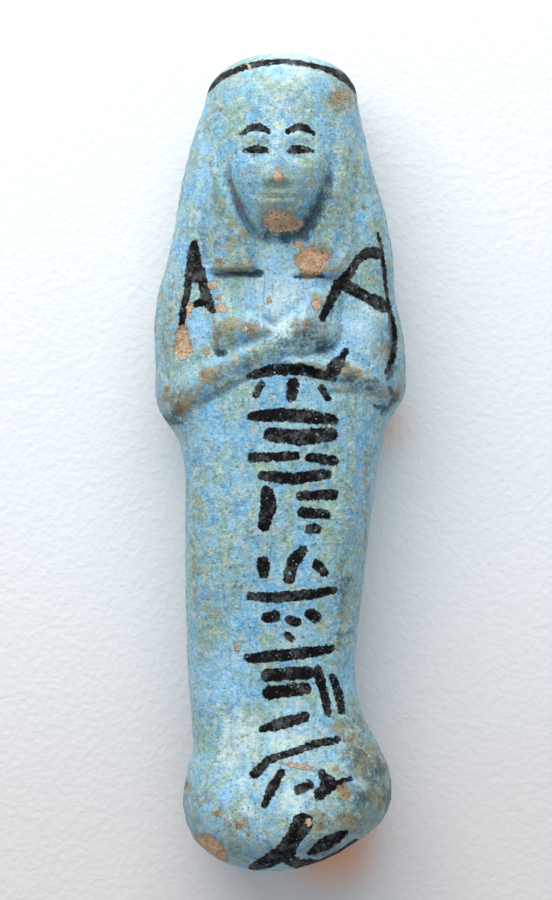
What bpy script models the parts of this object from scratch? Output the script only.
"""A moulded faience ushabti figurine, lying on its back with its head towards +Y.

The figure was pressed in an open mould, so its front is one height above the table at each place
and its back is plain. It is made here the same way. A sphere is the blank, a few stations along the
figure give its outline and its side profile, and the carved front is a relief worked into it.

Places on the figure are shares. Across runs from -1 to 1 over the span of the elbows, and along
runs from 0 at the sole to 1 at the crown. Everything else is in millimetres until the last step.
"""

import math

import bmesh
import bpy
import numpy as np

METRES_PER_MM = 0.001

# Driving sizes
FIGURE_LENGTH = 105.0
ELBOW_SPAN = 32.3
TOE_HEIGHT = 22.6
CROWN_ROUNDING = 5.9
CROWN_DOME = 8.5
SOLE_ROUNDING = 5.0
SOLE_CORNER_ROUNDING = 9.0
BACK_SCRAPE = 0.8

# How far up the cross-section's side the carving starts, and how gently
CARVED_FROM_SHARE = 0.06
CARVED_EDGE_SHARE = 0.28

# The wig's lappets and the hollow of the chest between them
LAPPET_RELIEF = 0.95
LAPPET_SIDE = 1.9
LAPPET_END = 0.8
CHEST_HOLLOW = 1.1
CHEST_SIDE = 2.2

# The arms
FOREARM_RADIUS = 2.6
FOREARM_RELIEF = 1.2
LEFT_FOREARM_RELIEF = 0.95
HAND_RELIEF = 1.3
SLEEVE_RELIEF = 0.55
LIMB_ROOT = 0.7
LIMB_BLEND = 0.8
GROOVE_RADIUS = 0.8
GROOVE_DEPTH = 0.3

# The face
FACE_WIDTH = 13.0
FACE_LENGTH = 16.4
FACE_RELIEF = 3.6
NOSE_RELIEF = 1.15
FACE_FALL = 9.0
FACE_BLEND = 0.45
WIG_GROOVE_DEPTH = 0.75

# Chips through the glaze
CHIP_RADIUS = 1.9
CHIP_DEPTH = 0.45

# The blank and the finished number of faces
FACES_AROUND = 140
FACES_ALONG = 240
FINISHED_TRIANGLES = 9700

# Outline seen from the front: along, left edge and right edge across
OUTLINE = (
    (0.000, -0.824, 0.650),
    (0.035, -0.811, 0.760),
    (0.065, -0.780, 0.850),
    (0.094, -0.768, 0.885),
    (0.123, -0.731, 0.867),
    (0.152, -0.687, 0.780),
    (0.182, -0.700, 0.681),
    (0.240, -0.731, 0.594),
    (0.360, -0.749, 0.669),
    (0.475, -0.749, 0.755),
    (0.520, -0.786, 0.799),
    (0.545, -0.885, 0.855),
    (0.563, -0.960, 0.923),
    (0.585, -0.994, 0.997),
    (0.620, -0.991, 1.000),
    (0.660, -1.000, 0.972),
    (0.700, -0.975, 0.916),
    (0.740, -0.904, 0.904),
    (0.797, -0.824, 0.842),
    (0.856, -0.755, 0.737),
    (0.914, -0.650, 0.650),
    (0.944, -0.585, 0.615),
    (1.000, -0.560, 0.600),
)

# Side profile of the uncarved front: along, share of the toe height
FRONT_LINE = (
    (0.000, 0.985),
    (0.045, 1.000),
    (0.085, 0.965),
    (0.130, 0.878),
    (0.180, 0.795),
    (0.235, 0.760),
    (0.310, 0.772),
    (0.420, 0.803),
    (0.520, 0.815),
    (0.585, 0.812),
    (0.650, 0.796),
    (0.710, 0.775),
    (0.766, 0.785),
    (0.820, 0.828),
    (0.880, 0.870),
    (0.940, 0.885),
    (1.000, 0.850),
)

# Side profile of the back: along, millimetres that the blank clears the table before it is scraped
BACK_LINE = (
    (0.00, 0.30),
    (0.06, 0.00),
    (0.15, 0.55),
    (0.30, 0.10),
    (0.42, 0.10),
    (0.55, 0.50),
    (0.70, 0.00),
    (0.86, 0.10),
    (1.00, 1.20),
)

# Height of the widest line, where the mould's edge was, as a share of the toe height
WIDEST_LINE = (
    (0.0, 0.440),
    (0.1, 0.420),
    (0.2, 0.355),
    (0.5, 0.355),
    (0.6, 0.370),
    (0.8, 0.400),
    (1.0, 0.450),
)

# How square the front of the cross-section is: 2 is an ellipse
FRONT_SQUARENESS = (
    (0.00, 2.3),
    (0.10, 2.4),
    (0.20, 3.0),
    (0.30, 3.3),
    (0.50, 3.2),
    (0.60, 2.8),
    (0.75, 2.6),
    (1.00, 2.2),
)
BACK_SQUARENESS = 2.4

# Wig lappets and the hollow of the chest, as outlines in plan
LEFT_LAPPET = (
    (-0.560, 0.900),
    (-0.600, 0.832),
    (-0.590, 0.783),
    (-0.555, 0.700),
    (-0.125, 0.700),
    (-0.180, 0.757),
    (-0.290, 0.800),
    (-0.390, 0.850),
    (-0.400, 0.900),
)
RIGHT_LAPPET = (
    (0.600, 0.900),
    (0.650, 0.825),
    (0.600, 0.777),
    (0.535, 0.700),
    (0.100, 0.700),
    (0.140, 0.753),
    (0.270, 0.795),
    (0.390, 0.840),
    (0.400, 0.900),
)
LEFT_LAPPET_END = 0.731
RIGHT_LAPPET_END = 0.727
LAPPET_FADE_FROM = 0.905
LAPPET_FADE = 9.0
CHEST = (
    (-0.400, 0.815),
    (-0.540, 0.725),
    (-0.444, 0.700),
    (-0.317, 0.682),
    (-0.143, 0.665),
    (-0.024, 0.657),
    (0.063, 0.663),
    (0.246, 0.691),
    (0.397, 0.713),
    (0.540, 0.730),
    (0.410, 0.815),
)

# Strokes of the arms in plan: across, along, radius as a share of the forearm's radius
RIGHT_FOREARM = (
    (-0.810, 0.580, 1.35),
    (-0.556, 0.602, 1.05),
    (-0.302, 0.624, 0.94),
    (0.000, 0.645, 0.98),
    (0.230, 0.669, 1.12),
    (0.325, 0.692, 0.90),
)
LEFT_FOREARM = (
    (0.840, 0.592, 1.30),
    (0.619, 0.602, 0.85),
    (0.437, 0.609, 0.78),
    (0.238, 0.617, 0.55),
    (0.040, 0.621, 0.30),
)
LEFT_HAND = ((-0.390, 0.661, 1.35), (-0.238, 0.664, 0.95), (-0.080, 0.657, 0.40))
RIGHT_FIST = ((0.270, 0.668, 1.10), (0.335, 0.654, 0.85))
LEFT_SLEEVE = ((-0.740, 0.790, 0.9), (-0.857, 0.673, 1.5), (-0.880, 0.600, 1.5))
RIGHT_SLEEVE = ((0.740, 0.790, 0.9), (0.850, 0.673, 1.5), (0.880, 0.610, 1.5))

# Grooves pressed into the front: across, along, radius as a share of the groove's radius
GROOVES = (
    ((-0.575, 0.685, 0.8), (-0.548, 0.651, 1.0), (-0.480, 0.631, 1.3)),
    ((0.485, 0.697, 0.5), (0.475, 0.660, 0.9), (0.445, 0.640, 1.0), (0.302, 0.632, 0.6)),
    ((0.800, 0.760, 0.5), (0.857, 0.709, 0.8), (0.905, 0.668, 1.0), (0.833, 0.604, 0.9)),
    ((-0.785, 0.556, 0.7), (-0.580, 0.574, 0.8), (-0.230, 0.602, 0.7), (0.400, 0.640, 0.5)),
    ((0.400, 0.583, 0.5), (0.667, 0.585, 0.7), (0.790, 0.577, 0.8)),
)

# Chips: across, along, half width and half height in chip radii, turn in degrees
CHIPS = (
    (0.010, 0.790, 1.45, 0.72, -8.0),
    (0.245, 0.742, 1.15, 1.05, 50.0),
    (-0.770, 0.644, 0.62, 1.25, 0.0),
    (-0.540, 0.031, 1.35, 0.75, -38.0),
)

# The face stands in the wig's opening, by the usual thirds and five eyes wide
FACE_ACROSS = -0.015
CHIN_ALONG = 0.784
FACE_RIM_SHARE = 0.785
FACE_LEAN = 0.11
FACE_THIRD = FACE_LENGTH / 3
EYE_WIDTH = FACE_WIDTH / 5


def smooth_curve(along, stations, column=1):
    """A curve through the stations with no overshoot, read at each place along."""
    places = np.array([station[0] for station in stations])
    values = np.array([station[column] for station in stations])
    gaps = np.diff(places)
    slopes = np.diff(values) / gaps
    tangents = np.zeros(len(places))
    rising = slopes[:-1] * slopes[1:] > 0
    before, after = slopes[:-1][rising], slopes[1:][rising]
    tangents[1:-1][rising] = 2 * before * after / (before + after)
    tangents[0], tangents[-1] = slopes[0], slopes[-1]
    span = np.clip(np.searchsorted(places, along, side="right") - 1, 0, len(gaps) - 1)
    gap = gaps[span]
    t = np.clip((along - places[span]) / gap, 0, 1)
    return (
        values[span] * (1 + 2 * t) * (1 - t) ** 2
        + values[span + 1] * t**2 * (3 - 2 * t)
        + gap * (tangents[span] * t * (1 - t) ** 2 - tangents[span + 1] * t**2 * (1 - t))
    )


def soft_step(depth, edge):
    """0 outside, 1 once the depth inside an outline is past the edge's width."""
    t = np.clip(depth / edge, 0, 1)
    return t * t * (3 - 2 * t)


def soft_max(first, second, blend):
    """The larger of two heights, rounded where they cross over a blend in millimetres."""
    mix = np.clip(0.5 + 0.5 * (first - second) / blend, 0, 1)
    return second * (1 - mix) + first * mix + blend * mix * (1 - mix)


def end_cap(distance, length, power=2.0):
    """How wide a rounded end is at a distance from its tip: 0 at the tip, 1 past its length."""
    inward = 1 - np.clip(distance / length, 0, 1)
    return (1 - inward**power) ** (1 / power)


def to_mm(across, along):
    """A place on the figure, from shares to millimetres in plan."""
    return across * ELBOW_SPAN / 2, (along - 0.5) * FIGURE_LENGTH


def nearest_on_line(x, y, start, end):
    """How far along a straight line the point nearest each place is, 0 to 1, and how far off it is."""
    (ax, ay), (bx, by) = start, end
    length_squared = (bx - ax) ** 2 + (by - ay) ** 2
    t = np.clip(((x - ax) * (bx - ax) + (y - ay) * (by - ay)) / length_squared, 0, 1)
    return t, np.hypot(x - ax - t * (bx - ax), y - ay - t * (by - ay))


def stroke_depth(x, y, stroke, radius):
    """How far inside a stroke of changing radius each place is, as a share of the radius there."""
    best = np.full(np.shape(x), -1e3)
    for (across_a, along_a, size_a), (across_b, along_b, size_b) in zip(stroke, stroke[1:]):
        t, distance = nearest_on_line(x, y, to_mm(across_a, along_a), to_mm(across_b, along_b))
        best = np.maximum(best, 1 - distance / (radius * (size_a + (size_b - size_a) * t)))
    return best


def outline_depth(x, y, outline):
    """How far inside a closed outline each place is, in millimetres, and less than 0 outside it."""
    nearest = np.full(np.shape(x), 1e3)
    inside = np.zeros(np.shape(x), bool)
    corners = [to_mm(across, along) for across, along in outline]
    for (ax, ay), (bx, by) in zip(corners, corners[1:] + corners[:1]):
        nearest = np.minimum(nearest, nearest_on_line(x, y, (ax, ay), (bx, by))[1])
        if ay != by:
            crosses = (ay > y) != (by > y)
            inside ^= crosses & (x < ax + (bx - ax) * (y - ay) / (by - ay))
    return np.where(inside, nearest, -nearest)


def rounded_ridge(depth):
    """The section of a limb worn soft: 0 at its edge and 1 along its middle."""
    inward = 1 - np.clip(depth, 0, 1)
    return (1 - inward**2) ** 1.2


def mound(x, y, centre, half_width, half_height):
    """A soft bump of height 1 about a centre in millimetres."""
    return np.exp(-(((x - centre[0]) / half_width) ** 2) - ((y - centre[1]) / half_height) ** 2)


def face_features(x, up):
    """Height of the features over the smooth oval of the face: up from the chin, x from its middle."""
    side = np.abs(x)
    nose_base, brow, mouth = FACE_THIRD, 2 * FACE_THIRD, FACE_THIRD * 2 / 3
    eye = (EYE_WIDTH, brow - FACE_THIRD * 0.24)
    bridge = np.clip((brow - up) / (brow - nose_base), 0, 1)
    nose = bridge**0.8 * np.exp(-((x / (EYE_WIDTH * (0.32 + 0.18 * bridge))) ** 2))
    nose = nose * soft_step(up - nose_base + 0.5, 1.0)
    wings = mound(side, up, (EYE_WIDTH * 0.42, nose_base + 0.5), EYE_WIDTH * 0.24, EYE_WIDTH * 0.24)
    sockets = mound(side, up, eye, EYE_WIDTH * 0.75, EYE_WIDTH * 0.5)
    from_eye = np.hypot((side - eye[0]) / (EYE_WIDTH * 0.58), (up - eye[1]) / (EYE_WIDTH * 0.3))
    lids = soft_step(1 - from_eye, 0.7)
    brows = mound(side, up, (EYE_WIDTH, brow + 0.4), EYE_WIDTH * 0.9, EYE_WIDTH * 0.28)
    cheeks = mound(side, up, (EYE_WIDTH * 1.2, nose_base + 0.6), EYE_WIDTH * 0.8, EYE_WIDTH * 0.8)
    upper_lip = mound(x, up, (0, mouth + 0.42), EYE_WIDTH * 0.62, EYE_WIDTH * 0.16)
    lower_lip = mound(x, up, (0, mouth - 0.5), EYE_WIDTH * 0.54, EYE_WIDTH * 0.18)
    chin = mound(x, up, (0, FACE_THIRD * 0.2), EYE_WIDTH * 0.8, EYE_WIDTH * 0.45)
    return (
        NOSE_RELIEF * nose
        + 0.30 * wings
        - 0.60 * sockets
        + 0.42 * lids
        + 0.22 * brows
        + 0.22 * cheeks
        + 0.42 * upper_lip
        + 0.42 * lower_lip
        + 0.40 * chin
    )


def face_height(x, y):
    """Height of the face over its own rim, falling away outside it, and how near the rim each place is."""
    middle_x, chin_y = to_mm(FACE_ACROSS, CHIN_ALONG)
    x, up = x - middle_x, y - chin_y
    half_length = FACE_LENGTH / 2
    half_width = FACE_WIDTH / 2 * (0.84 + 0.16 * soft_step(up, 0.6 * FACE_LENGTH))
    from_middle = np.hypot(x / half_width, (up - half_length) / half_length)
    dome = np.clip(1 - from_middle**2.2, 0, 1) ** 0.65
    lean = FACE_LEAN * (half_length - up)
    fall = FACE_FALL * np.clip(from_middle - 1, 0, None)
    return FACE_RELIEF * dome + lean - fall + face_features(x, up) * soft_step(dome, 0.6), from_middle


def chip_depth(x, y):
    """1 on the floor of a chip, 0 where the glaze is whole. A chip's edge wanders in and out."""
    deepest = np.zeros(np.shape(x))
    for across, along, width, height, turn in CHIPS:
        cx, cy = to_mm(across, along)
        c, s = math.cos(math.radians(turn)), math.sin(math.radians(turn))
        dx, dy = (x - cx) * c + (y - cy) * s, (y - cy) * c - (x - cx) * s
        dx, dy = dx / (CHIP_RADIUS * width), dy / (CHIP_RADIUS * height)
        round_it = np.arctan2(dy, dx)
        wander = 1 + 0.13 * np.sin(3 * round_it + turn) + 0.08 * np.sin(5 * round_it - turn)
        deepest = np.maximum(deepest, soft_step(1 - np.hypot(dx, dy) * wander, 0.3))
    return deepest


def lappet_height(x, y, outline, end_along):
    """A wig lappet, 0 to 1: soft sides, a crisp cut end below and no edge where it leaves the wig."""
    end_y, fade_y = to_mm(0, end_along)[1], to_mm(0, LAPPET_FADE_FROM)[1]
    side = soft_step(outline_depth(x, y, outline) + LAPPET_SIDE / 3, LAPPET_SIDE)
    return side * soft_step(y - end_y + LAPPET_END / 2, LAPPET_END) * soft_step(fade_y - y, LAPPET_FADE)


def carved_front(x, y, z):
    """The uncarved front's height z with the wig, chest, arms, hands and face worked into it."""
    chest = CHEST_HOLLOW * soft_step(outline_depth(x, y, CHEST) + CHEST_SIDE / 3, CHEST_SIDE)
    lappets = lappet_height(x, y, LEFT_LAPPET, LEFT_LAPPET_END)
    lappets = lappets + lappet_height(x, y, RIGHT_LAPPET, RIGHT_LAPPET_END)
    carved = z - chest * (1 - lappets) + LAPPET_RELIEF * lappets

    for sleeve in (LEFT_SLEEVE, RIGHT_SLEEVE):
        carved = carved + SLEEVE_RELIEF * rounded_ridge(stroke_depth(x, y, sleeve, FOREARM_RADIUS))
    for limb, relief in (
        (LEFT_FOREARM, LEFT_FOREARM_RELIEF),
        (LEFT_HAND, HAND_RELIEF),
        (RIGHT_FOREARM, FOREARM_RELIEF),
        (RIGHT_FIST, HAND_RELIEF),
    ):
        ridge = rounded_ridge(stroke_depth(x, y, limb, FOREARM_RADIUS))
        carved = soft_max(carved, z - LIMB_ROOT + (relief + LIMB_ROOT) * ridge, LIMB_BLEND)
    for groove in GROOVES:
        carved = carved - GROOVE_DEPTH * rounded_ridge(stroke_depth(x, y, groove, GROOVE_RADIUS))

    face, from_middle = face_height(x, y)
    below_brow = soft_step(to_mm(0, CHIN_ALONG)[1] + 2.2 * FACE_THIRD - y, 1.2 * FACE_THIRD)
    beside = np.exp(-(((from_middle - 1.1) / 0.19) ** 2)) * below_brow
    carved = carved - WIG_GROOVE_DEPTH * beside
    carved = soft_max(carved, FACE_RIM_SHARE * TOE_HEIGHT + face, FACE_BLEND)
    return carved - CHIP_DEPTH * chip_depth(x, y)


def hand_finish(x, y):
    """The slow unevenness that fingers leave on damp faience."""
    return 0.16 * np.sin(0.31 * x + 0.9) * np.sin(0.22 * y + 0.4) + 0.1 * np.sin(0.55 * x - 0.37 * y)


def scraped_flat(z, blend=0.4):
    """The back cut off flat at the table, with a rounded edge of this blend in millimetres."""
    return np.where(z > blend, z, np.where(z < -blend, 0, (z + blend) ** 2 / (4 * blend)))


def eased(t, ease=0.1):
    """Even steps along the figure, drawn closer together at its two ends."""
    start = t**2 / (2 * ease)
    end = 1 - ease - (1 - t) ** 2 / (2 * ease)
    return np.where(t < ease, start, np.where(t > 1 - ease, end, t - ease / 2)) / (1 - ease)


def figure_surface(along, turn):
    """Points of the figure in millimetres: along from sole to crown, turned from +X over the front."""
    y = to_mm(0, along)[1]
    from_sole, from_crown = along * FIGURE_LENGTH, (1 - along) * FIGURE_LENGTH
    plan_cap = end_cap(from_crown, CROWN_ROUNDING) * end_cap(from_sole, SOLE_CORNER_ROUNDING)
    side_cap = end_cap(from_crown, CROWN_DOME) * end_cap(from_sole, SOLE_ROUNDING, 2.4)

    left = smooth_curve(along, OUTLINE, 1) * ELBOW_SPAN / 2
    right = smooth_curve(along, OUTLINE, 2) * ELBOW_SPAN / 2
    widest = smooth_curve(along, WIDEST_LINE) * TOE_HEIGHT
    front = (smooth_curve(along, FRONT_LINE) * TOE_HEIGHT - widest) * side_cap
    back = (widest + BACK_SCRAPE - smooth_curve(along, BACK_LINE)) * side_cap
    half = (right - left) / 2 * plan_cap

    squareness = np.where(np.sin(turn) > 0, smooth_curve(along, FRONT_SQUARENESS), BACK_SQUARENESS)
    bend = np.abs(np.cos(turn)) ** squareness + np.abs(np.sin(turn)) ** squareness
    reach = bend ** (-1 / squareness)
    x = (left + right) / 2 + half * np.cos(turn) * reach
    rise = np.sin(turn) * reach
    z = widest + np.where(rise > 0, front, back) * rise

    on_front = soft_step(rise - CARVED_FROM_SHARE, CARVED_EDGE_SHARE) * soft_step(side_cap, 0.5)
    z = z + on_front * (carved_front(x, y, z) - z + hand_finish(x, y))
    return x, y, scraped_flat(z)


def make_figure(collection):
    """The figure as one closed solid: a sphere pressed to shape, then thinned to few faces."""
    mesh = bpy.data.meshes.new("ushabti_figure")
    blank = bmesh.new()
    bmesh.ops.create_uvsphere(blank, u_segments=FACES_AROUND, v_segments=FACES_ALONG, radius=1.0)
    blank.to_mesh(mesh)
    blank.free()

    sphere = np.empty(len(mesh.vertices) * 3)
    mesh.vertices.foreach_get("co", sphere)
    sphere = sphere.reshape(-1, 3)
    along = eased(np.arccos(np.clip(sphere[:, 2], -1, 1)) / math.pi)
    turn = np.arctan2(sphere[:, 1], sphere[:, 0])
    x, y, z = figure_surface(along, turn)
    mesh.vertices.foreach_set("co", (np.stack([x, y, z], axis=1) * METRES_PER_MM).ravel())
    mesh.update()

    figure = bpy.data.objects.new("ushabti_figure", mesh)
    collection.objects.link(figure)
    thin = figure.modifiers.new("Few faces", "DECIMATE")
    thin.ratio = FINISHED_TRIANGLES / (2 * FACES_AROUND * (FACES_ALONG - 1))
    mesh.shade_smooth()
    return figure


def make_faience():
    """Turquoise copper glaze over a sandy body."""
    faience = bpy.data.materials.new("blue_faience")
    faience.use_nodes = True
    surface = faience.node_tree.nodes["Principled BSDF"]
    surface.inputs["Base Color"].default_value = (0.20, 0.46, 0.60, 1.0)
    surface.inputs["Roughness"].default_value = 0.42
    surface.inputs["Metallic"].default_value = 0.0
    return faience


def main():
    for leftover in list(bpy.data.objects):
        bpy.data.objects.remove(leftover)
    collection = bpy.data.collections.new("ushabti_figurine")
    bpy.context.scene.collection.children.link(collection)
    figure = make_figure(collection)
    figure.data.materials.append(make_faience())


main()
